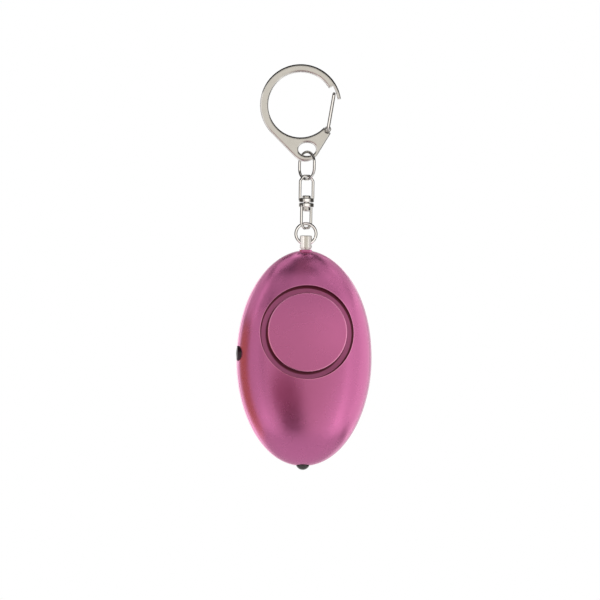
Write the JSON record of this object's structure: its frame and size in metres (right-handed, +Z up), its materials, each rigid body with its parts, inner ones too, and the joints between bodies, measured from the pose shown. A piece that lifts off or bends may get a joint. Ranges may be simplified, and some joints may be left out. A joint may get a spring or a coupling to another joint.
{
  "type": "personal safety alarm",
  "caption": "Egg-shaped personal alarm with a round speaker cover, side button and lamp, hanging by its pull pin from a jump ring, swivel, oval link and snap clasp.",
  "frame": {"origin": "top inside of the clasp's ring, where the object hangs", "axes": "+Z up along the hanging line, -Y the front with the speaker disc, +X to the gate's side"},
  "size_m": [0.0408, 0.0233, 0.1217],
  "materials": {
    "bright_nickel": "bright nickel plating",
    "satin_nickel": "satin nickel plating",
    "satin_pink": "satin metallic pink lacquer on plastic",
    "dark_plastic": "dark purple-brown, satin",
    "smoked_lens": "smoked clear plastic",
    "black_plastic": "matt moulded",
    "white_plastic": "matt moulded",
    "soft_rubber": "matt",
    "piezo_brass": "bare",
    "spring_brass": "bare",
    "ceramic_white": "fired ceramic",
    "board_green": "solder mask",
    "screw_steel": "zinc plated",
    "cell_steel": "nickel-plated steel",
    "copper_wire": "enamelled copper",
    "capacitor_can": "bare can",
    "wire_red": "insulation",
    "wire_black": "insulation"
  },
  "bodies": {
    "clasp": {"clasp_body": "bright_nickel"},
    "gate": {"gate_wire": "bright_nickel"},
    "link": {"oval_link": "bright_nickel"},
    "swivel_upper": {"swivel_upper_loop": "bright_nickel"},
    "swivel_lower": {"swivel_lower_loop": "bright_nickel", "swivel_rivet": "bright_nickel"},
    "jump_ring": {"jump_ring": "bright_nickel"},
    "pull_pin": {"pin_head": "satin_nickel", "pin_shank": "black_plastic"},
    "alarm": {"front_shell": "satin_pink", "back_shell": "satin_pink", "speaker_disc": "satin_pink", "piezo_seal": "soft_rubber", "piezo_plate": "piezo_brass", "piezo_ceramic": "ceramic_white", "circuit_board": "board_green", "board_screws": "screw_steel", "case_screws": "screw_steel", "pin_bushing": "white_plastic", "switch_body": "black_plastic", "led_lamp": "smoked_lens", "led_leads": "screw_steel", "battery_cradle": "black_plastic", "battery_plus_plate": "spring_brass", "battery_minus_plate": "spring_brass", "battery_cell_1": "cell_steel", "battery_cell_2": "cell_steel", "battery_cell_3": "cell_steel", "coil_core": "black_plastic", "coil_winding": "copper_wire", "driver_chip": "black_plastic", "transistor": "black_plastic", "capacitor": "capacitor_can", "resistors": "ceramic_white", "contact_fixed": "spring_brass", "piezo_wire_1": "wire_red", "piezo_wire_2": "wire_black"},
    "button": {"led_button": "dark_plastic", "switch_plunger": "white_plastic"},
    "contact_leaf": {"contact_spring": "spring_brass"}
  },
  "joints": [
    {"name": "gate_hinge", "type": "hinge", "parent": "clasp", "child": "gate", "pos_m": [0.00614, -0.00075, -0.01672], "axis": [-0.1219, -0.9925, 0], "range_deg": [0, 40], "stiffness_Nm_per_rad": 0.02, "springref_deg": -11.46},
    {"name": "link_swing", "type": "hinge", "parent": "clasp", "child": "link", "pos_m": [0, 0, -0.02565], "axis": [0.9925, -0.1219, 0], "range_deg": [-25, 25]},
    {"name": "upper_loop_swing", "type": "hinge", "parent": "link", "child": "swivel_upper", "pos_m": [0, 0, -0.03183], "axis": [0.5878, -0.809, 0], "range_deg": [-40, 40]},
    {"name": "swivel_turn", "type": "hinge", "parent": "swivel_upper", "child": "swivel_lower", "pos_m": [0, 0, -0.03879], "axis": [0, 0, 1], "continuous": true},
    {"name": "ring_swing", "type": "hinge", "parent": "swivel_lower", "child": "jump_ring", "pos_m": [0, 0, -0.04646], "axis": [0.766, 0.6428, 0], "range_deg": [-20, 20]},
    {"name": "pin_swing", "type": "hinge", "parent": "jump_ring", "child": "pull_pin", "pos_m": [0, 0, -0.05079], "axis": [0.9962, -0.0872, 0], "range_deg": [-60, 60]},
    {"name": "pin_pull", "type": "slide", "parent": "pull_pin", "child": "alarm", "axis": [0, 0, -1], "range_m": [0, 0.018]},
    {"name": "button_press", "type": "slide", "parent": "alarm", "child": "button", "axis": [1, 0, 0], "range_m": [0, 0.00035], "stiffness_N_per_m": 400, "springref_m": -0.0005},
    {"name": "leaf_close", "type": "hinge", "parent": "alarm", "child": "contact_leaf", "pos_m": [0.00065, -0.00106, -0.07932], "axis": [0, -1, 0], "range_deg": [0, 5.6]}
  ],
  "couplings": [
    {"joint": "leaf_close", "follows": "pin_pull", "rad_per_m": 5.3}
  ]
}
